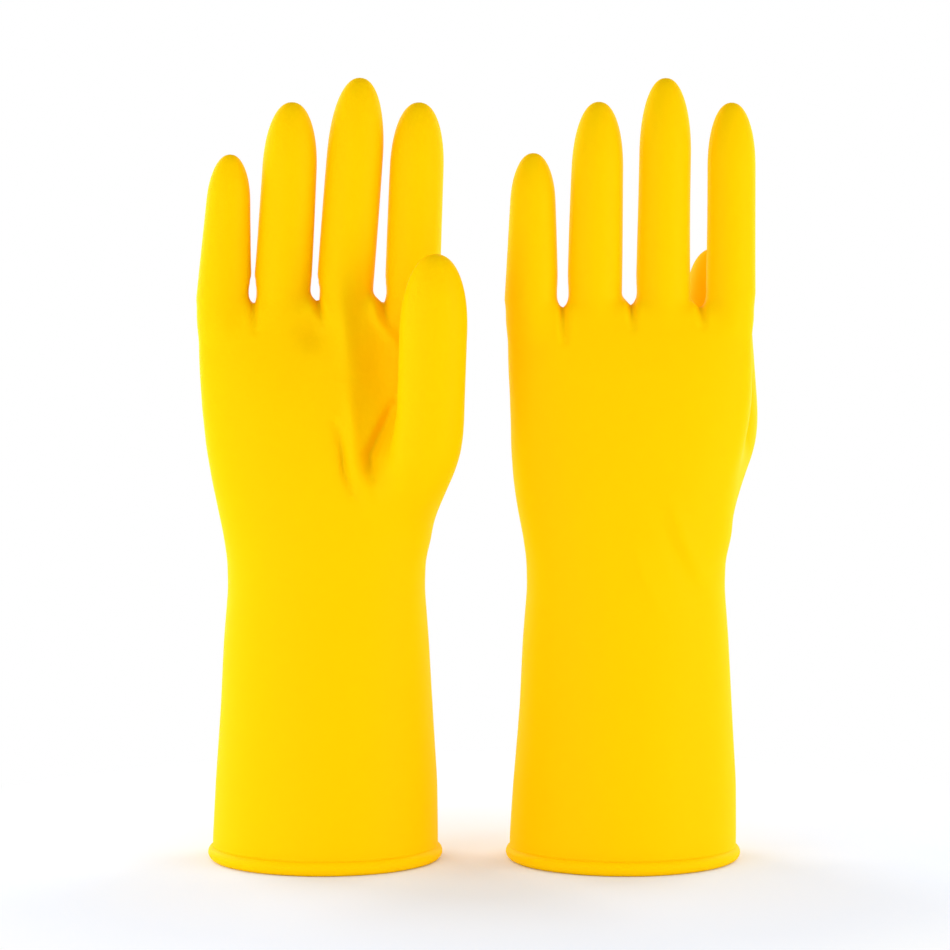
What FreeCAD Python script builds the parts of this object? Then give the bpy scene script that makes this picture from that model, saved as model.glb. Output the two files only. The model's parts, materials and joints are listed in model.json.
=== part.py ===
"""A pair of long household rubber gloves standing on their rolled hems.

Millimetres. +Z is up, the viewer stands at -Y and +X is to the right.
The origin is on the floor, midway between the two gloves.
The right-hand glove stands at -X with its palm to -Y.
The left-hand glove stands at +X with its back to -Y.
"""
import FreeCAD, Part
import math
import os

SIZES = [
    ("glove_length", 301.0, "floor to the tip of the middle finger"),
    ("finger_length", 82.0, "free length of the middle finger above the web"),
    ("pair_gap", 24.0, "air between the two rolled hems"),
    ("wall", 0.6, "latex film with its flock lining"),
    ("joint_gap", 0.2, "air between a soft zone and the next region"),
    ("bead_radius", 2.7, "radius of the rolled hem"),
    ("hem_width", 86.0, "outside width of the cuff at the hem"),
    ("hem_depth", 80.0, "outside depth of the cuff at the hem"),
    ("wrist_width", 76.0, "outside width at the wrist"),
    ("wrist_depth", 52.0, "outside depth at the wrist"),
    ("wrist_flex", 26.0, "length of the soft zone at the wrist"),
    ("palm_width", 94.0, "width across the four fingers"),
    ("palm_depth", 35.0, "thickness of the hand at the palm"),
    ("knuckle_depth", 24.0, "thickness of the hand just under the web"),
    ("stub_share", 0.045, "stub on the hand, share of a digit's length"),
    ("flex_share", 0.66, "soft zone of a finger, share of its width"),
    ("thumb_flex_share", 0.6, "soft zone of the thumb, share of its width"),
    ("lower_share", 0.36, "lower stall, share of the length left by the soft zones"),
    ("depth_share", 0.94, "depth of a digit, share of its width"),
    ("thumb_forward", 22.5, "thumb axis in front of the hand at the thumb's crotch"),
    ("thumb_tilt", 9.0, "degrees the thumb leans away from the palm"),
]

# digit: width as a share of palm_width, length as a share of finger_length,
# rounded end as a share of the digit's own length, width where that end starts
# as a share of the digit's own width
DIGIT_SHARES = {
    "little": (0.205, 0.683, 0.36, 0.86),
    "ring": (0.228, 0.890, 0.39, 0.97),
    "middle": (0.222, 1.000, 0.44, 0.98),
    "index": (0.228, 0.884, 0.38, 0.96),
    "thumb": (0.266, 0.695, 0.58, 0.98),
}

# glove: side of the palm along Y, shift of the palm as a share of its width,
# and for each digit its root as a share of palm_width and its lean in degrees
GLOVES = {
    "right": {
        "palm_side": -1,
        "palm_shift": -0.012,
        "little": (-0.410, 2.6),
        "ring": (-0.173, 2.8),
        "middle": (0.082, 3.6),
        "index": (0.352, 1.9),
        "thumb": (0.436, 1.5),
    },
    "left": {
        "palm_side": 1,
        "palm_shift": 0.030,
        "little": (-0.375, 0.8),
        "ring": (-0.122, 1.1),
        "middle": (0.158, 0.5),
        "index": (0.424, -0.3),
        "thumb": (0.420, -4.0),
    },
}

FINGERS = ("little", "ring", "middle", "index")

# a digit's rounded end: share of the end's length, share of the width there
DOME = (
    (0.0, 1.0),
    (0.3, 0.954),
    (0.52, 0.854),
    (0.72, 0.694),
    (0.87, 0.493),
    (0.96, 0.28),
    (1.0, 0.08),
)

# the rolled hem's section, in bead radii: height above its lowest point and
# how far it stands out from the film on each side
BEAD = ((0.0, 0.33), (0.25, 0.74), (0.94, 1.0), (1.62, 0.74), (1.9, 0.20))

# corners of the many-sided ovals
SLEEVE_SIDES = 48
DIGIT_SIDES = 24

SPACING = "(<<sizes>>.hem_width + 2 * <<sizes>>.bead_radius + <<sizes>>.pair_gap)"
CENTRING = "0.02 * <<sizes>>.palm_width"
WEB = "(<<sizes>>.glove_length - <<sizes>>.finger_length)"
WRIST = "(0.49 * " + WEB + ")"
THUMB_WEB = "(0.815 * " + WEB + ")"
BEAD_HEIGHT = "(0.94 * <<sizes>>.bead_radius)"
CUFF_TOP = "(" + WRIST + " - <<sizes>>.wrist_flex / 2)"
HAND_LOW = "(" + WRIST + " + <<sizes>>.wrist_flex / 2)"

# stations of the sleeve from hem to knuckles:
# height, width, depth, share of the palm shift
STATIONS = [
    (BEAD_HEIGHT, "<<sizes>>.hem_width", "<<sizes>>.hem_depth", 0.0),
    ("0.22 * " + WRIST,
     "(0.86 * <<sizes>>.hem_width + 0.14 * <<sizes>>.wrist_width)",
     "(0.76 * <<sizes>>.hem_depth + 0.24 * <<sizes>>.wrist_depth)", 0.1),
    ("0.6 * " + WRIST,
     "(0.42 * <<sizes>>.hem_width + 0.58 * <<sizes>>.wrist_width)",
     "(0.33 * <<sizes>>.hem_depth + 0.67 * <<sizes>>.wrist_depth)", 0.2),
    (WRIST, "<<sizes>>.wrist_width", "<<sizes>>.wrist_depth", 0.3),
    ("(0.64 * " + WRIST + " + 0.36 * " + WEB + ")",
     "0.925 * <<sizes>>.palm_width",
     "(0.42 * <<sizes>>.wrist_depth + 0.58 * <<sizes>>.palm_depth)", 0.6),
    ("(0.27 * " + WRIST + " + 0.73 * " + WEB + ")",
     "1.01 * <<sizes>>.palm_width", "<<sizes>>.palm_depth", 1.0),
    ("(" + WEB + " - 0.4 * <<sizes>>.knuckle_depth)",
     "0.99 * <<sizes>>.palm_width", "<<sizes>>.knuckle_depth", 1.0),
    ("(" + WEB + " - 0.12 * <<sizes>>.knuckle_depth)",
     "0.96 * <<sizes>>.palm_width", "0.72 * <<sizes>>.knuckle_depth", 1.0),
    (WEB, "0.93 * <<sizes>>.palm_width", "0.45 * <<sizes>>.knuckle_depth", 1.0),
]

# stations of the thumb below and above its crotch:
# height as a share of the thumb's length, then the inward shift, the shift
# back into the hand, the width and the depth as shares of the thumb's width
THUMB_STATIONS = [
    (-0.95, 0.62, 0.42, 0.60, 0.55),
    (-0.50, 0.20, 0.12, 1.08, 1.04),
    (0.0, 0.0, 0.0, 1.03, 0.95),
]

doc = FreeCAD.newDocument("rubber_gloves")


def fill_sheet():
    """Write every driving size as plain text with a readable alias."""
    sheet = doc.addObject("Spreadsheet::Sheet", "sizes")
    for row, (alias, value, note) in enumerate(SIZES, start=1):
        sheet.set("A%d" % row, alias)
        sheet.set("B%d" % row, str(value))
        sheet.set("C%d" % row, note)
        sheet.setAlias("B%d" % row, alias)
    doc.recompute()


def add(kind, name, placement=None, **expressions):
    """Add a Part object whose named properties follow expressions."""
    item = doc.addObject(kind, name)
    for prop, text in expressions.items():
        item.setExpression(prop, text)
    if placement:
        item.setExpression("Placement", placement)
    return item


def at(x="0", y="0", z="0"):
    """Placement expression for a plain shift."""
    return "placement(vector(%s; %s; %s); rotation(vector(0; 0; 1); 0))" % (x, y, z)


def turned(axis, angle):
    """Placement expression for a turn about one axis."""
    return "placement(vector(0; 0; 0); rotation(vector(%s); %s))" % (axis, angle)


def oval(name, width, depth, inset, placement, sides=SLEEVE_SIDES):
    """Many-sided oval. Its sizes are read from the sheet when the script runs."""
    item = doc.addObject("Part::Feature", name)
    half_wide = float(item.evalExpression("(%s) / 2 - (%s)" % (width, inset)))
    half_deep = float(item.evalExpression("(%s) / 2 - (%s)" % (depth, inset)))
    points = []
    for i in range(sides):
        turn = 2 * math.pi * (i + 0.5) / sides
        points.append(FreeCAD.Vector(half_wide * math.cos(turn), half_deep * math.sin(turn), 0))
    item.Shape = Part.makePolygon(points + points[:1])
    item.setExpression("Placement", placement)
    return item


def loft(name, sections):
    item = doc.addObject("Part::Loft", name)
    item.Sections = sections
    item.Solid = True
    item.Ruled = True
    return item


def fuse(name, shapes):
    item = doc.addObject("Part::MultiFuse", name)
    item.Shapes = shapes
    return item


def cut(name, base, tool):
    item = doc.addObject("Part::Cut", name)
    item.Base = base
    item.Tool = tool
    item.Refine = False
    return item


def common(name, base, tool):
    item = doc.addObject("Part::Common", name)
    item.Base = base
    item.Tool = tool
    return item


def slab(name, frame, low, high, reach):
    """Box across one region, from low to high along the frame's own Z."""
    return add(
        "Part::Box", name,
        "%s * %s" % (frame, at("-(%s)" % reach, "-(%s)" % reach, low)),
        Length="2 * (%s)" % reach,
        Width="2 * (%s)" % reach,
        Height="(%s) - (%s)" % (high, low),
    )


def sleeve(side, layer, inset):
    """Solid of the cuff and hand up to the web, drawn in by inset."""
    sections = []
    frame = "%s_frame.Placement * " % side
    for index, (height, width, depth, share) in enumerate(STATIONS):
        drop = inset if index == len(STATIONS) - 1 else "0"
        spot = at("%g * <<sizes>>.palm_width" % (share * GLOVES[side]["palm_shift"]), "0",
                  "%s - %s" % (height, drop))
        name = "%s_sleeve_%s_%d" % (side, layer, index)
        sections.append(oval(name, width, depth, inset, frame + spot))
    return loft("%s_sleeve_%s" % (side, layer), sections)


def digit_sizes(digit):
    """Expressions for a digit's width and free length."""
    width_share, length_share = DIGIT_SHARES[digit][:2]
    width = "(%g * <<sizes>>.palm_width)" % width_share
    length = "(%g * <<sizes>>.finger_length)" % length_share
    return width, length


def digit_levels(digit):
    """Heights that divide a digit: stub, soft zone, lower stall, soft zone, tip."""
    width, length = digit_sizes(digit)
    share = "thumb_flex_share" if digit == "thumb" else "flex_share"
    flex = "(<<sizes>>.%s * %s)" % (share, width)
    stub = "(<<sizes>>.stub_share * %s)" % length
    lower = "(<<sizes>>.lower_share * (%s - %s - 2 * %s))" % (length, stub, flex)
    first = "(%s + %s)" % (stub, flex)
    second = "(%s + %s)" % (first, lower)
    third = "(%s + %s)" % (second, flex)
    return stub, first, second, third


def digit_frame(side, digit):
    """Placement expression for the root of a digit."""
    root, lean = GLOVES[side][digit]
    sign = GLOVES[side]["palm_side"]
    across = "%g * <<sizes>>.palm_width" % root
    base = "%s_frame.Placement * " % side
    if digit != "thumb":
        drop = "0.035 * <<sizes>>.finger_length" if digit == "little" else "0"
        return base + at(across, "0", WEB + " - " + drop) + " * " + turned("0; 1; 0", lean)
    tilt = "%d * <<sizes>>.thumb_tilt" % -sign
    forward = "%d * <<sizes>>.thumb_forward" % sign
    return (base + at(across, forward, THUMB_WEB) + " * " + turned("0; 1; 0", lean)
            + " * " + turned("1; 0; 0", tilt))


def digit_solid(side, digit, layer, inset):
    """Closed solid of one digit from inside the hand to its rounded tip."""
    width, length = digit_sizes(digit)
    frame = "%s_%s_root.Placement * " % (side, digit)
    label = "%s_%s_%s" % (side, digit, layer)
    dome_share, end_share = DIGIT_SHARES[digit][2:]
    depth = "<<sizes>>.depth_share * " + width
    rings = []
    if digit == "thumb":
        sign = GLOVES[side]["palm_side"]
        for height, inward, back, wide, deep in THUMB_STATIONS:
            spot = at("-%g * %s" % (inward, width), "%g * %s" % (-sign * back, width),
                      "%g * %s" % (height, length))
            rings.append(("%g * %s" % (wide, width), "%g * %s" % (deep, width), spot))
    else:
        rings.append((width, "0.8 * " + width, at("0", "0", "-0.6 * " + width)))
        rings.append((width, depth, at("0", "0", "0.15 * " + width)))
    for along, share in DOME:
        height = "%s * %g - %s * %g" % (length, 1 - dome_share * (1 - along), inset, along)
        wide = "%g * %s" % (end_share * share, width)
        deep = "%g * %s" % (end_share * share, depth)
        rings.append((wide, deep, at("0", "0", height)))
    sections = []
    for index, (wide, deep, spot) in enumerate(rings):
        thin = "%s * %g" % (inset, 0.5 if index == len(rings) - 1 else 1)
        sections.append(oval("%s_%d" % (label, index), wide, deep, thin,
                             frame + spot, DIGIT_SIDES))
    return loft(label, sections)


def digit_regions(side, digit, outer, inner, hand):
    """Divide a digit's shell; return the named regions and the stub left for the hand.

    The lowest soft zone and the lower stall end where they meet the hand.
    """
    width, length = digit_sizes(digit)
    frame = "%s_%s_root.Placement" % (side, digit)
    stub, first, second, third = digit_levels(digit)
    gap = "<<sizes>>.joint_gap"
    label = "%s_%s" % (side, digit)
    shell = cut(label + "_shell", outer, inner)
    spans = [
        ("root_ring", stub, "%s - %s" % (first, gap)),
        ("lower_ring", first, second),
        ("mid_flex", second, "%s - %s" % (third, gap)),
        ("tip", third, "%s + 1" % length),
    ]
    regions = []
    for part, low, high in spans:
        box = slab("%s_%s_box" % (label, part), frame, low, high, width)
        regions.append(common("%s_%s" % (label, part), shell, box))
    for place, part in enumerate(("root_flex", "lower")):
        regions[place] = cut("%s_%s" % (label, part), regions[place], hand)
    low_box = slab(label + "_stub_box", frame, "-%s" % length, stub, "1.2 * " + width)
    return regions, common(label + "_stub", outer, low_box)


def bead(side, cuff):
    """Rolled hem around the cuff's mouth, slotted for the film and flat where it stands."""
    frame = "%s_frame.Placement * " % side
    walls = []
    for layer, sign in (("outside", 1), ("inside", -1)):
        sections = []
        for index, (height, reach) in enumerate(BEAD):
            out = "<<sizes>>.wall / 2 - %g * <<sizes>>.bead_radius" % (sign * reach)
            level = "%g * <<sizes>>.bead_radius" % height
            sections.append(oval("%s_bead_%s_%d" % (side, layer, index),
                                 "<<sizes>>.hem_width", "<<sizes>>.hem_depth", out,
                                 frame + at("0", "0", level)))
        walls.append(loft("%s_bead_%s" % (side, layer), sections))
    ring = cut("%s_bead_ring" % side, *walls)
    return cut("%s_cuff_bead" % side, ring, cuff)


def glove(side):
    """Every named region of one glove."""
    sign = -1 if side == "right" else 1
    add("Part::Vertex", "%s_frame" % side,
        at("%d * %s / 2 - %s" % (sign, SPACING, CENTRING)))
    outer = sleeve(side, "outer", "0")
    inner = sleeve(side, "inner", "<<sizes>>.wall")
    inner_digits = []
    stubs = []
    regions = []
    for digit in DIGIT_SHARES:
        add("Part::Vertex", "%s_%s_root" % (side, digit), digit_frame(side, digit))
        outside = digit_solid(side, digit, "outer", "0")
        inside = digit_solid(side, digit, "inner", "<<sizes>>.wall")
        parts, stub = digit_regions(side, digit, outside, inside, outer)
        regions += parts
        stubs.append(stub)
        inner_digits.append(inside)
    hull = fuse("%s_hull" % side, [outer] + stubs)
    core = fuse("%s_core" % side, [inner] + inner_digits)
    film = cut("%s_film" % side, hull, core)
    frame = "%s_frame.Placement" % side
    reach = "<<sizes>>.palm_width"
    spans = [
        ("cuff", "0", CUFF_TOP),
        ("wrist_flex", CUFF_TOP, "%s - <<sizes>>.joint_gap" % HAND_LOW),
        ("hand", HAND_LOW, "<<sizes>>.glove_length"),
    ]
    sleeves = []
    for part, low, high in spans:
        box = slab("%s_%s_box" % (side, part), frame, low, high, reach)
        sleeves.append(common("%s_%s" % (side, part), film, box))
    return [bead(side, sleeves[0])] + sleeves + regions


def check(item):
    """Stop the build if a region is broken or is not one solid."""
    shape = item.Shape
    if shape.isNull() or not shape.isValid():
        raise RuntimeError("bad shape: " + item.Label)
    if len(shape.Solids) != 1:
        raise RuntimeError("%s has %d solids" % (item.Label, len(shape.Solids)))


fill_sheet()
nodes = glove("right") + glove("left")
doc.recompute()

for item in doc.Objects:
    if "Invalid" in item.State or "Error" in item.State:
        raise RuntimeError("%s: %s" % (item.Label, item.State))

os.makedirs("parts", exist_ok=True)
for node in nodes:
    check(node)
    node.Shape.exportStep("parts/%s.step" % node.Label)
print("wrote", len(nodes), "regions")
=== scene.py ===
import json
import math

import bpy
import numpy as np
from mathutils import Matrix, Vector


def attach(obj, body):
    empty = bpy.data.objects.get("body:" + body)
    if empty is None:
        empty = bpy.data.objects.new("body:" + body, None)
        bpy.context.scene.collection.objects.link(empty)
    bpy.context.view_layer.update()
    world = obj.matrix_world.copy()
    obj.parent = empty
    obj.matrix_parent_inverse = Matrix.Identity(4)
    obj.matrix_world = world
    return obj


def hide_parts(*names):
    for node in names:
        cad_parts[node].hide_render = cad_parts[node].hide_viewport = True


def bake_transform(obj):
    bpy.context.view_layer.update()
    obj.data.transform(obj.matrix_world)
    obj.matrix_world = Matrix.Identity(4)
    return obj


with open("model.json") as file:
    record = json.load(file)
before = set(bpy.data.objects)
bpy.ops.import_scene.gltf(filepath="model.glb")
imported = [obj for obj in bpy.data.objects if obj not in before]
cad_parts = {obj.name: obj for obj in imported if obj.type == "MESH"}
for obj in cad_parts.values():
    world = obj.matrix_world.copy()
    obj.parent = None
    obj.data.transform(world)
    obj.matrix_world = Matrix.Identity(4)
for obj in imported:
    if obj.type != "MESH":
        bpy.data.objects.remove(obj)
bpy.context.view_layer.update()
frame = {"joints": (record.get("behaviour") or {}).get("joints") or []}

MM = 0.001
STEP = 1.3      # grid step of the skin, mm
WALL = 0.6                             # film and flock, mm
BEAD_RADIUS = 2.7                      # rolled hem, mm
BEAD_FLAT = 0.15                       # how much it is pressed flat, mm
HEM_WIDTH, HEM_DEPTH = 86.0, 80.0      # outside of the cuff at the hem, mm
PALM_WIDTH = 94.0                      # across the four fingers, mm
FINGER_LENGTH = 82.0                   # middle finger above the web, mm
STUB_SHARE = 0.045                     # stub on the hand, share of a digit's length
LOWER_SHARE = 0.36                     # lower stall, share of what the soft zones leave

# digit: width and free length (mm), depth as a share of width, length of the rounded end
# (mm), narrowing towards the end, bow towards the palm (mm), how much the hand leans in
# below it (mm per mm), height of its soft zones as a share of width
DIGITS = {
    "little": dict(width=0.205 * PALM_WIDTH, length=0.683 * FINGER_LENGTH, depth=0.94,
                   dome=18.0, taper=0.26, bow=1.6, inward=0.14, flex=0.66),
    "ring": dict(width=0.228 * PALM_WIDTH, length=0.890 * FINGER_LENGTH, depth=0.94,
                 dome=26.0, taper=0.06, bow=2.0, inward=0, flex=0.66),
    "middle": dict(width=0.222 * PALM_WIDTH, length=1.000 * FINGER_LENGTH, depth=0.94,
                   dome=30.0, taper=0.05, bow=2.2, inward=0, flex=0.66),
    "index": dict(width=0.228 * PALM_WIDTH, length=0.884 * FINGER_LENGTH, depth=0.94,
                  dome=25.0, taper=0.07, bow=2.0, inward=-0.10, flex=0.66),
    "thumb": dict(width=0.266 * PALM_WIDTH, length=0.695 * FINGER_LENGTH, depth=0.94,
                  dome=30.0, taper=0.0, bow=-1.0, inward=0, flex=0.6),
}
FINGERS = ("little", "ring", "middle", "index")

# sleeve of the glove: height, reach to the little finger's side, reach to the
# thumb's side, half depth, squareness of the section (2 is an ellipse)
SLEEVE = np.array([
    (-4.0, 43.6, 43.5, 40.2, 2.0),
    (8.0, 43.6, 43.6, 39.0, 2.0),
    (30.0, 42.4, 43.6, 35.5, 2.0),
    (60.0, 40.1, 41.9, 31.5, 2.0),
    (85.0, 38.8, 40.4, 28.5, 2.05),
    (105.0, 37.2, 38.8, 26.0, 2.1),
    (116.0, 37.5, 39.1, 25.0, 2.15),
    (126.0, 39.0, 41.5, 24.0, 2.2),
    (137.0, 41.3, 42.2, 22.5, 2.25),
    (148.0, 43.7, 42.4, 21.0, 2.3),
    (160.0, 45.9, 43.8, 19.5, 2.35),
    (175.0, 47.6, 44.8, 17.8, 2.4),
    (190.0, 48.4, 45.2, 15.8, 2.45),
    (202.0, 48.6, 45.0, 13.2, 2.5),
    (211.0, 48.4, 44.6, 10.6, 2.6),
    (222.0, 47.8, 44.0, 8.2, 2.6),
])

# glove: side of the palm along Y, sideways shift of the palm, height of the web, how
# strongly the thumb's ball curves into the hand, seed of the film's waves, the creases
# below the three webs (start and end across, height of the lower end), and for each
# digit how far its root and its tip stand aside (mm) and how wide it is
GLOVES = {
    "right": dict(palm=-1, shift=1.0, web=218.0, hook=0.0052, seed=3, webs=(
        (-27.0, -25.4, 208), (-2.5, 0.6, 211), (22.3, 24.8, 211)), fit={
        "little": (0.3, 0.9, 1.07), "ring": (0.6, 1.2, 1.01), "middle": (0.4, 1.6, 1.03),
        "index": (1.1, 1.5, 0.99), "thumb": (0.4, 1.0, 1.0)}),
    "left": dict(palm=1, shift=3.9, web=216.5, hook=0.0075, seed=8, webs=(
        (-23.7, -23.5, 204), (2.5, 2.5, 209), (28.6, 29.4, 210)), fit={
        "little": (-0.5, -0.5, 1.06), "ring": (0.0, 0.2, 0.96), "middle": (0.0, 0.0, 1.0),
        "index": (0.7, 1.2, 0.91), "thumb": (0.0, 0.0, 1.0)}),
}
BLUNT = 2.2                            # squareness of the rounded ends, 2 is an ellipse
THUMB_ROOM = 2.6                       # kept free between the thumb's stall and the palm, mm
GRID_LOW = (-58, -52, -3)              # corners of the box that a glove is sampled in, mm
GRID_HIGH = (66, 44, 305)

# dents of the palm: depth, centre, half width and half height (all mm), and whether it
# fades out beside the thumb
PALM_DENTS = (
    (3.4, (-2.5, 204), (6.5, 6), False),
    (1.6, (-9, 194), (15, 12), False),
    (3.6, (22, 190), (8, 17), True),
    (1.0, (-2, 176), (22, 20), False),
)

# creases (positive) and ridges (negative): depth, points, half width (all mm), and
# whether it fades out beside the thumb
PALM_FOLDS = (
    (-1.5, ((18, 220), (21, 210), (29, 198)), 2.4, True),
    (-1.3, ((7, 222), (9, 205), (11, 186)), 3.6, False),
    (-1.9, ((10, 184), (12, 168), (12.5, 155), (18, 140)), 2.8, True),
    (2.2, ((5, 170), (7.5, 160), (8.5, 151), (11.5, 142)), 1.7, False),
    (4.0, ((28, 178), (23, 168), (18, 158), (19, 150)), 2.2, False),
)
BACK_FOLDS = (
    (0.8, ((12, 138), (18, 122), (27, 104)), 3.6, False),
    (-0.9, ((17, 141), (23, 124), (31, 108)), 3.4, False),
    (-0.7, ((2, 128), (6, 114), (14, 98)), 4.0, False),
)
WEB_CREASE = (2.6, 1.6)                # depth and half width of the web's creases, mm
WAVE = 0.07                            # height of the film's slight waves, mm

FLOOR_SHADED, FLOOR_WHITE = 0.17, 0.26  # metres from the middle where the floor fades out
FILL = 0.62                            # light from the white surroundings

# soft light: place, target, width and height in metres, watts
LIGHTS = {
    "left_light": ((-0.75, -0.02, 0.24), (-0.06, 0, 0.18), (0.35, 0.5), 1.5),
    "left_front": ((-0.45, -0.55, 0.20), (0.02, 0, 0.15), (0.4, 0.4), 1.6),
    "right_light": ((0.70, -0.35, 0.22), (0.06, 0, 0.15), (0.5, 0.5), 2.9),
    "left_rim": ((-0.50, 0.55, 0.35), (0.06, 0, 0.15), (0.5, 0.6), 3.2),
    "right_rim": ((0.50, 0.55, 0.35), (-0.06, 0, 0.15), (0.5, 0.6), 2.6),
}

# camera, in metres: what it looks at, how far in front and how high it stands, and the
# width that it sees at the gloves
CAMERA_TARGET = (-0.0015, 0, 0.1488)
CAMERA_DISTANCE, CAMERA_HEIGHT = 1.6, 0.30
CAMERA_SPAN = 0.3654
SENSOR_WIDTH = 36                      # mm


def smooth_table(table, step=1.0, passes=10):
    """Dense, softened copy of a table whose first column is height."""
    heights = np.arange(table[0, 0], table[-1, 0] + step, step)
    columns = [np.interp(heights, table[:, 0], table[:, i]) for i in range(1, table.shape[1])]
    dense = np.array(columns)
    for _ in range(passes):
        middle = (dense[:, :-2] + 2 * dense[:, 1:-1] + dense[:, 2:]) / 4
        dense[:, 1:-1] = middle
    return heights, dense


SLEEVE_HEIGHTS, SLEEVE_DENSE = smooth_table(SLEEVE)


def smoothstep(low, high, value):
    t = np.clip((value - low) / (high - low), 0, 1)
    return t * t * (3 - 2 * t)


def soft_min(a, b, k):
    """Union of two distance fields with a fillet about k wide."""
    h = np.clip(0.5 + 0.5 * (b - a) / k, 0, 1)
    return b * (1 - h) + a * h - k * h * (1 - h)


def soft_max(a, b, k):
    return -soft_min(-a, -b, k)


def along_line(x, z, points):
    """Distance in the XZ plane to a line through points, and how far along it, 0 to 1."""
    best = np.full(x.shape, 1e9)
    place = np.zeros(x.shape)
    count = len(points) - 1
    for i in range(count):
        ax, az = points[i]
        bx, bz = points[i + 1]
        dx, dz = bx - ax, bz - az
        t = np.clip(((x - ax) * dx + (z - az) * dz) / (dx * dx + dz * dz), 0, 1)
        distance = np.hypot(x - ax - t * dx, z - az - t * dz)
        closer = distance < best
        best = np.where(closer, distance, best)
        place = np.where(closer, (i + t) / count, place)
    return best, place


def fold(x, z, points, width):
    """Bump of height 1 along a line, fading at both of its ends."""
    distance, place = along_line(x, z, points)
    return np.exp(-(distance / width) ** 2) * np.sin(np.pi * np.clip(place, 0.04, 0.96)) ** 0.6


def dimple(x, z, centre, size):
    return np.exp(-((x - centre[0]) / size[0]) ** 2 - ((z - centre[1]) / size[1]) ** 2)


class Digit:
    """One finger or thumb, placed by the two joints that it bends at."""

    def __init__(self, side, name):
        spec = DIGITS[name]
        self.side, self.name = side, name
        self.length = spec["length"]
        self.root_shift, self.tip_shift, fullness = GLOVES[side]["fit"][name]
        self.half_width = fullness * spec["width"] / 2
        self.half_depth = spec["depth"] * self.half_width
        self.taper, self.bow, self.dome = spec["taper"], spec["bow"], spec["dome"]
        self.inward = spec["inward"]
        flex = spec["flex"] * spec["width"]
        stub = STUB_SHARE * self.length
        lower = LOWER_SHARE * (self.length - stub - 2 * flex)
        self.levels = [stub, stub + flex, stub + flex + lower, stub + 2 * flex + lower]
        first = JOINTS["%s_%s_root_bend" % (side, name)]
        second = JOINTS["%s_%s_middle_bend" % (side, name)]
        low = to_local(side, np.array(first["pos_m"]) / MM)
        high = to_local(side, np.array(second["pos_m"]) / MM)
        self.up = (high - low) / np.linalg.norm(high - low)
        self.root = low - self.up * (stub + flex / 2)
        across = np.array([1.0, 0.0, 0.0])
        across -= self.up * (across @ self.up)
        self.across = across / np.linalg.norm(across)
        self.back = np.cross(self.up, self.across)

    def coordinates(self, points):
        rel = points - self.root
        return rel @ self.across, rel @ self.back, rel @ self.up

    def field(self, points):
        """Signed distance, about right near the surface."""
        x, y, z = self.coordinates(points)
        up = np.clip(z / self.length, 0, 1.1)
        x = x - self.root_shift - (self.tip_shift - self.root_shift) * up
        y = y + self.bow * up ** 2
        wide = self.half_width * (1 - self.taper * up)
        deep = self.half_depth * (1 - self.taper * up)
        below = np.clip(-z, 0, None)
        if self.name == "thumb":
            x = x + GLOVES[self.side]["hook"] * below ** 2
            y = y - 0.0042 * below ** 2
            swell = smoothstep(0, 22, below) - 1.4 * smoothstep(20, 56, below)
            wide = wide + 0.9 * swell + 0.3
            deep = deep + 1.6 * swell
            foot = np.clip((below - 36) / 20, 0, None)
        else:
            x = x - self.inward * below
            deep = deep + 0.05 * np.clip(below, 0, 14)
            foot = np.clip((below - 8) / 14, 0, None)
        top = np.clip((z - self.length) / self.dome + 1, 0, None)
        end = top + foot
        reach = np.where(top > 0, self.dome, 20.0)
        round_part = np.hypot(x / wide, y / deep) + 1e-6
        round_slope = np.hypot(x / wide ** 2, y / deep ** 2) / round_part
        r = (round_part ** BLUNT + end ** BLUNT) ** (1 / BLUNT)
        slope = np.hypot(round_part ** (BLUNT - 1) * round_slope,
                         end ** (BLUNT - 1) / reach) * r ** (1 - BLUNT)
        return (r - 1) / np.maximum(slope, 0.02)

    def world(self, height):
        """Point on the digit's axis, in metres in the row frame."""
        return Vector(to_world(self.side, self.root + self.up * height) * MM)


def to_local(side, points):
    """Row frame to the glove's own frame, where the palm always faces -Y."""
    local = np.array(points, float)
    local[..., 0] -= CENTRE[side]
    local[..., 1] *= -GLOVES[side]["palm"]
    return local


def to_world(side, points):
    world = np.array(points, float)
    world[..., 1] *= -GLOVES[side]["palm"]
    world[..., 0] += CENTRE[side]
    return world


JOINTS = {joint["name"]: joint for joint in frame["joints"]}
CENTRE = {side: JOINTS[side + "_wrist_bend"]["pos_m"][0] / MM for side in GLOVES}


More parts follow.
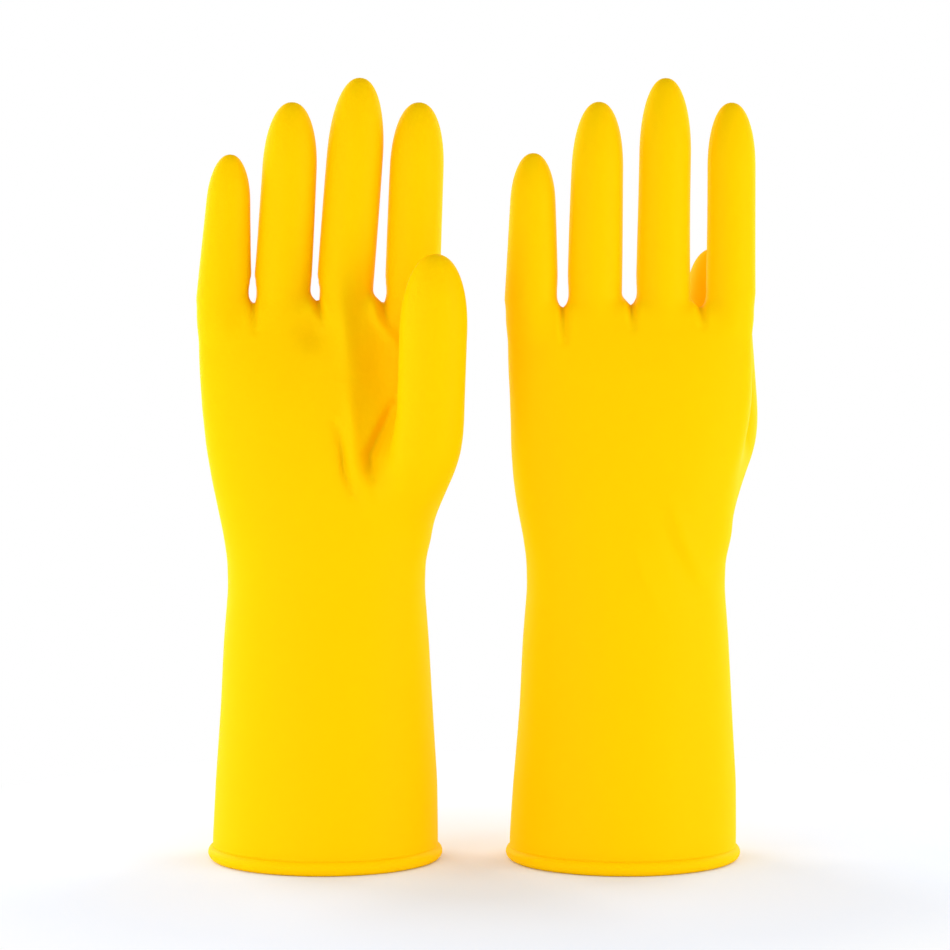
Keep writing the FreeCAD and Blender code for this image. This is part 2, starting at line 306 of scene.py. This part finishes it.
class Glove:
    """The whole film of one glove as a distance field, in its own frame."""

    def __init__(self, side):
        self.side = side
        self.spec = GLOVES[side]
        self.digits = {name: Digit(side, name) for name in DIGITS}
        random = np.random.default_rng(self.spec["seed"])
        self.waves = [(random.uniform(-1, 1, 3) * 0.09, random.uniform(0, 6.28))
                      for _ in range(9)]

    def sleeve(self, points):
        x, y, z = points[:, 0], points[:, 1], points[:, 2]
        left, right, deep, square = (
            np.interp(z, SLEEVE_HEIGHTS, column) for column in SLEEVE_DENSE)
        shift = self.spec["shift"] * smoothstep(132, 182, z)
        wide = (left + right) / 2
        u = np.abs(x - shift - (right - left) / 2) / wide
        v = np.abs(y) / deep
        r = np.maximum(u ** square + v ** square, 1e-9) ** (1 / square)
        base = np.maximum(r, 0.05) ** (1 - square)
        slope = np.hypot(base * u ** (square - 1) / wide, base * v ** (square - 1) / deep)
        side = (r - 1) / np.maximum(slope, 0.5 / wide)
        lift = self.spec["web"] - 0.0012 * (x - shift) ** 2
        return soft_max(side, z - lift, 7.0)

    def relief(self, points):
        """Inward dents (positive) and outward folds (negative) of the film, in mm."""
        x, y, z = points[:, 0], points[:, 1], points[:, 2]
        palm = smoothstep(2.0, -6.0, y)
        back = 1 - palm
        thumb_near = self.digits["thumb"].field(points)
        off_thumb = smoothstep(0.5, 4.5, thumb_near)
        dent = np.zeros(len(x))
        for depth, centre, size, fades in PALM_DENTS:
            dent += depth * dimple(x, z, centre, size) * (off_thumb if fades else 1)
        for depth, line, width, fades in PALM_FOLDS:
            dent += depth * fold(x, z, line, width) * (off_thumb if fades else 1)
        rear = np.zeros(len(x))
        for depth, line, width, fades in BACK_FOLDS:
            rear += depth * fold(x, z, line, width) * (off_thumb if fades else 1)
        web = np.zeros(len(x))
        depth, width = WEB_CREASE
        for start, end, low in self.spec["webs"]:
            line = ((start, 223), (start, 217), (end, low - 3))
            web += depth * fold(x, z, line, width)
        wave = np.zeros(len(x))
        for vector, phase in self.waves:
            wave += np.sin(points @ vector + phase)
        return palm * dent + back * rear + web + WAVE * wave

    def field(self, points):
        """Signed distance to the outside of the whole film.

        The palm keeps clear of the thumb's stall, and is filleted to the thumb's ball.
        """
        d = self.sleeve(points)
        for name in FINGERS:
            d = soft_min(d, self.digits[name].field(points), 2.6)
        d = d + self.relief(points)
        thumb = self.digits["thumb"]
        near = thumb.field(points)
        depth = -thumb.coordinates(points)[2]
        beside = THUMB_ROOM - near - 40 * smoothstep(-9, 4, depth)
        d = soft_max(d, beside, 2.0)
        k = 1.2 + 8.4 * smoothstep(8, 34, depth)
        return soft_min(d, near, k)

    def normals(self, points):
        epsilon = 0.2
        out = np.empty_like(points)
        for axis in range(3):
            shift = np.zeros(3)
            shift[axis] = epsilon
            out[:, axis] = self.field(points + shift) - self.field(points - shift)
        return out / np.linalg.norm(out, axis=1, keepdims=True)


def sample(glove, low, high, step):
    """Field values on a grid, one height at a time."""
    xs, ys, zs = (np.arange(low[i], high[i] + step, step) for i in range(3))
    flat_x, flat_y = (a.ravel() for a in np.meshgrid(xs, ys, indexing="ij"))
    values = np.empty((len(xs), len(ys), len(zs)), np.float32)
    for k in range(0, len(zs), 8):
        heights = zs[k:k + 8]
        points = np.stack([np.repeat(flat_x, len(heights)), np.repeat(flat_y, len(heights)),
                           np.tile(heights, len(flat_x))], axis=1)
        block = glove.field(points).reshape(len(xs), len(ys), len(heights))
        values[:, :, k:k + len(heights)] = block
    return values


def surface_nets(values, low, step):
    """Quads over the zero surface of a grid of field values."""
    inside = values < 0
    cells = tuple(n - 1 for n in values.shape)
    corner_steps = [(i, j, k) for i in (0, 1) for j in (0, 1) for k in (0, 1)]
    count = np.zeros(cells, np.uint8)
    for i, j, k in corner_steps:
        count += inside[i:i + cells[0], j:j + cells[1], k:k + cells[2]]
    active = (count > 0) & (count < 8)
    where = np.argwhere(active)
    index = np.full(cells, -1, np.int64)
    index[active] = np.arange(len(where))
    corner = {c: values[where[:, 0] + c[0], where[:, 1] + c[1], where[:, 2] + c[2]]
              for c in corner_steps}
    total = np.zeros((len(where), 3))
    hits = np.zeros(len(where))
    for c in corner_steps:
        for axis in range(3):
            if c[axis]:
                continue
            other = tuple(1 if a == axis else c[a] for a in range(3))
            f0, f1 = corner[c], corner[other]
            crosses = (f0 < 0) != (f1 < 0)
            t = np.where(crosses, f0 / np.where(crosses, f0 - f1, 1), 0)
            point = np.tile(np.array(c, float), (len(where), 1))
            point[:, axis] += t
            total += point * crosses[:, None]
            hits += crosses
    points = np.array(low) + (where + total / hits[:, None]) * step
    quads = []
    for axis in range(3):
        a, b = [i for i in range(3) if i != axis]
        if axis == 1:
            a, b = b, a
        first = inside.take(range(values.shape[axis] - 1), axis)
        second = inside.take(range(1, values.shape[axis]), axis)
        edges = np.argwhere(first != second)
        keep = (edges[:, a] > 0) & (edges[:, b] > 0)
        keep &= (edges[:, a] < cells[a]) & (edges[:, b] < cells[b])
        edges = edges[keep]
        starts_inside = first[tuple(edges.T)]
        ring = []
        for da, db in ((1, 1), (0, 1), (0, 0), (1, 0)):
            cell = edges.copy()
            cell[:, a] -= da
            cell[:, b] -= db
            ring.append(index[tuple(cell.T)])
        ring = np.stack(ring, axis=1)
        ring[~starts_inside] = ring[~starts_inside][:, ::-1]
        quads.append(ring)
    return points, np.concatenate(quads)


def settle(glove, points, quads, rounds=3):
    """Evens the mesh out and pulls every point onto the true surface."""
    for _ in range(rounds):
        total = np.zeros_like(points)
        degree = np.zeros(len(points))
        for i in range(4):
            a, b = quads[:, i], quads[:, (i + 1) % 4]
            np.add.at(total, a, points[b])
            np.add.at(total, b, points[a])
            np.add.at(degree, a, 1)
            np.add.at(degree, b, 1)
        points = 0.5 * points + 0.5 * total / np.maximum(degree, 1)[:, None]
        for _ in range(2):
            normal = glove.normals(points)
            points = points - normal * np.clip(glove.field(points), -1, 1)[:, None]
    return points, glove.normals(points)


def build_mesh(name, points, faces, normals, materials, face_slots=None):
    mesh = bpy.data.meshes.new(name)
    mesh.from_pydata((points * MM).tolist(), [], faces.tolist())
    for material in materials:
        mesh.materials.append(material)
    if face_slots is not None:
        mesh.polygons.foreach_set("material_index", face_slots.astype(np.int32))
    mesh.polygons.foreach_set("use_smooth", np.ones(len(faces), bool))
    mesh.update()
    if normals is not None:
        mesh.normals_split_custom_set_from_vertices(normals.tolist())
    obj = bpy.data.objects.new(name, mesh)
    bpy.context.scene.collection.objects.link(obj)
    return obj


def cut_out(name, glove, points, normals, quads, chosen, materials):
    """One piece of the skin: the chosen quads outside and the same ones, offset, inside."""
    faces = quads[chosen]
    used, compact = np.unique(faces, return_inverse=True)
    compact = compact.reshape(-1, 4)
    outer, out_normal = points[used], normals[used]
    inner = outer - out_normal * WALL
    both = np.concatenate([outer, inner])
    both_normals = np.concatenate([out_normal, -out_normal])
    both_faces = np.concatenate([compact, compact[:, ::-1] + len(used)])
    slots = np.repeat([0, 1], len(faces))
    both = to_world(glove.side, both)
    if glove.spec["palm"] > 0:
        both_normals[:, 1] *= -1
        both_faces = both_faces[:, ::-1]
    obj = build_mesh(name, both, both_faces, both_normals, materials, slots)
    relief = np.concatenate([glove.grip[used], np.zeros(len(used))])
    layer = obj.data.attributes.new("grip", "FLOAT", "POINT")
    layer.data.foreach_set("value", relief.astype(np.float32))
    return obj


def grip_mask(points, normals):
    """Where the moulded grip pattern is: the palm side of the hand, fingers and thumb."""
    facing = smoothstep(0.15, 0.6, -normals[:, 1])
    return facing * smoothstep(150, 172, points[:, 2])


def skin(side, latex, flock):
    """All the pieces of one glove's skin."""
    glove = Glove(side)
    values = sample(glove, GRID_LOW, GRID_HIGH, STEP)
    points, quads = surface_nets(values, GRID_LOW, STEP)
    points, normals = settle(glove, points, quads)
    glove.grip = grip_mask(points, normals)
    centres = points[quads].mean(axis=1)
    standing = centres[:, 2] > BEAD_RADIUS - BEAD_FLAT
    names = list(glove.digits)
    fields = np.array([glove.digits[name].field(centres) for name in names])
    owner = fields.argmin(axis=0)
    taken = np.zeros(len(quads), bool)
    for i, name in enumerate(names):
        digit = glove.digits[name]
        height = digit.coordinates(centres)[2]
        stub, first, second, third = digit.levels
        mine = (owner == i) & (height > stub / 2) & (fields[i] < 1.2)
        halfway = (first + second) / 2
        lower = mine & (height <= halfway)
        upper = mine & (height > halfway)
        taken |= mine
        label = "%s_%s" % (side, name)
        stall = cut_out(label + "_stall_skin", glove, points, normals, quads, lower,
                        (latex, flock))
        digit.world(stub)
        digit.world(first)
        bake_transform(stall)
        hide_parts(label + "_root_flex", label + "_lower")
        end = cut_out(label + "_end_skin", glove, points, normals, quads, upper,
                      (latex, flock))
        digit.world(second)
        digit.world(third)
        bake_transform(end)
        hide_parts(label + "_mid_flex", label + "_tip")
    hand = cut_out(side + "_hand_skin", glove, points, normals, quads, standing & ~taken,
                   (latex, flock))
    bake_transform(hand)
    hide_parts(side + "_cuff", side + "_wrist_flex", side + "_hand")


def bead(side, latex):
    """Rolled hem, pressed flat where it stands."""
    around, section = 200, 28
    height = BEAD_RADIUS - BEAD_FLAT
    points = []
    for i in range(around):
        a = 2 * math.pi * i / around
        centre = np.array([(HEM_WIDTH - WALL) / 2 * math.cos(a),
                           (HEM_DEPTH - WALL) / 2 * math.sin(a), height])
        out = np.array([math.cos(a) / HEM_WIDTH, math.sin(a) / HEM_DEPTH, 0])
        out /= np.linalg.norm(out)
        radius = BEAD_RADIUS * (1 + 0.012 * math.sin(5 * a + 1) + 0.010 * math.sin(11 * a))
        for j in range(section):
            b = 2 * math.pi * j / section
            point = centre + radius * (math.cos(b) * out + np.array([0, 0, math.sin(b)]))
            point[2] = max(point[2], 0.0)
            points.append(point)
    faces = []
    for i in range(around):
        for j in range(section):
            k, m = (i + 1) % around, (j + 1) % section
            faces.append((i * section + j, k * section + j, k * section + m, i * section + m))
    world = to_world(side, np.array(points))
    faces = np.array(faces)
    if GLOVES[side]["palm"] > 0:
        faces = faces[:, ::-1]
    obj = build_mesh(side + "_hem_bead", world, faces, None, (latex,))
    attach(obj, side + "_gauntlet")
    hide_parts(side + "_cuff_bead")


def plain_material(name, colour, roughness, gloss):
    """Material with one colour; returns it with its shader."""
    material = bpy.data.materials.new(name)
    material.use_nodes = True
    shader = material.node_tree.nodes["Principled BSDF"]
    shader.inputs["Base Color"].default_value = colour + (1,)
    shader.inputs["Roughness"].default_value = roughness
    shader.inputs["Specular IOR Level"].default_value = gloss
    return material, shader


def latex_material():
    """Satin yellow latex, with a faint moulded grip on the palm side."""
    material, shader = plain_material("yellow_latex", (1.0, 0.57, 0.0), 0.55, 0.02)
    shader.inputs["Sheen Weight"].default_value = 0.22
    shader.inputs["Sheen Roughness"].default_value = 0.45
    shader.inputs["Sheen Tint"].default_value = (1.0, 0.72, 0.0, 1)
    shader.inputs["Subsurface Weight"].default_value = 0.15
    shader.inputs["Subsurface Radius"].default_value = (1.0, 0.5, 0.05)
    shader.inputs["Subsurface Scale"].default_value = 0.003
    tree = material.node_tree
    place = tree.nodes.new("ShaderNodeTexCoord")
    cells = tree.nodes.new("ShaderNodeTexVoronoi")
    cells.inputs["Scale"].default_value = 620
    mask = tree.nodes.new("ShaderNodeAttribute")
    mask.attribute_name = "grip"
    height = tree.nodes.new("ShaderNodeMath")
    height.operation = "MULTIPLY"
    bump = tree.nodes.new("ShaderNodeBump")
    bump.inputs["Strength"].default_value = 0.25
    bump.inputs["Distance"].default_value = 0.0003
    tree.links.new(place.outputs["Object"], cells.inputs["Vector"])
    tree.links.new(cells.outputs["Distance"], height.inputs[0])
    tree.links.new(mask.outputs["Fac"], height.inputs[1])
    tree.links.new(height.outputs["Value"], bump.inputs["Height"])
    tree.links.new(bump.outputs["Normal"], shader.inputs["Normal"])
    return material


def area_light(name, place, target, size, watts):
    data = bpy.data.lights.new(name, "AREA")
    data.shape = "RECTANGLE"
    data.size, data.size_y = size
    data.energy = watts
    lamp = bpy.data.objects.new(name, data)
    lamp.location = place
    lamp.rotation_euler = (Vector(target) - Vector(place)).to_track_quat("-Z", "Y").to_euler()
    bpy.context.scene.collection.objects.link(lamp)


def floor_material():
    """Plain white floor that fades into the white background."""
    material, shader = plain_material("floor_white", (0.83, 0.88, 0.97), 0.9, 0.0)
    tree = material.node_tree
    place = tree.nodes.new("ShaderNodeTexCoord")
    length = tree.nodes.new("ShaderNodeVectorMath")
    length.operation = "LENGTH"
    fade = tree.nodes.new("ShaderNodeMapRange")
    fade.interpolation_type = "SMOOTHSTEP"
    fade.inputs["From Min"].default_value = FLOOR_SHADED
    fade.inputs["From Max"].default_value = FLOOR_WHITE
    path = tree.nodes.new("ShaderNodeLightPath")
    both = tree.nodes.new("ShaderNodeMath")
    both.operation = "MULTIPLY"
    white = tree.nodes.new("ShaderNodeEmission")
    mix = tree.nodes.new("ShaderNodeMixShader")
    tree.links.new(place.outputs["Object"], length.inputs[0])
    tree.links.new(length.outputs["Value"], fade.inputs["Value"])
    tree.links.new(fade.outputs["Result"], both.inputs[0])
    tree.links.new(path.outputs["Is Camera Ray"], both.inputs[1])
    tree.links.new(both.outputs["Value"], mix.inputs["Fac"])
    tree.links.new(shader.outputs["BSDF"], mix.inputs[1])
    tree.links.new(white.outputs["Emission"], mix.inputs[2])
    tree.links.new(mix.outputs["Shader"], tree.nodes["Material Output"].inputs["Surface"])
    return material


def white_world():
    """World that looks plain white and lights the gloves evenly, but less strongly."""
    world = bpy.data.worlds.new("studio")
    bpy.context.scene.world = world
    world.use_nodes = True
    tree = world.node_tree
    sky = tree.nodes["Background"]
    sky.inputs["Color"].default_value = (1, 1, 1, 1)
    path = tree.nodes.new("ShaderNodeLightPath")
    strength = tree.nodes.new("ShaderNodeMapRange")
    strength.inputs["To Min"].default_value = FILL
    strength.inputs["To Max"].default_value = 1.0
    tree.links.new(path.outputs["Is Camera Ray"], strength.inputs["Value"])
    tree.links.new(strength.outputs["Result"], sky.inputs["Strength"])


def studio():
    """White floor, white world, and soft lights in front, beside and behind."""
    bpy.ops.mesh.primitive_plane_add(size=12, location=(0, 0, 0))
    floor = bpy.context.object
    floor.name = "floor"
    floor.data.materials.append(floor_material())
    white_world()
    for name, spec in LIGHTS.items():
        area_light(name, *spec)
    scene = bpy.context.scene
    scene.view_settings.view_transform = "Standard"
    scene.view_settings.look = "None"


def camera():
    data = bpy.data.cameras.new("camera")
    item = bpy.data.objects.new("camera", data)
    bpy.context.scene.collection.objects.link(item)
    target = Vector(CAMERA_TARGET)
    item.location = (target.x, -CAMERA_DISTANCE, CAMERA_HEIGHT)
    view = target - item.location
    item.rotation_euler = view.to_track_quat("-Z", "Y").to_euler()
    data.sensor_width = SENSOR_WIDTH
    data.lens = SENSOR_WIDTH * view.length / CAMERA_SPAN
    bpy.context.scene.camera = item


latex = latex_material()
flock = plain_material("cotton_flock", (0.95, 0.72, 0.25), 0.95, 0.05)[0]
for glove_side in GLOVES:
    skin(glove_side, latex, flock)
    bead(glove_side, latex)
studio()
camera()
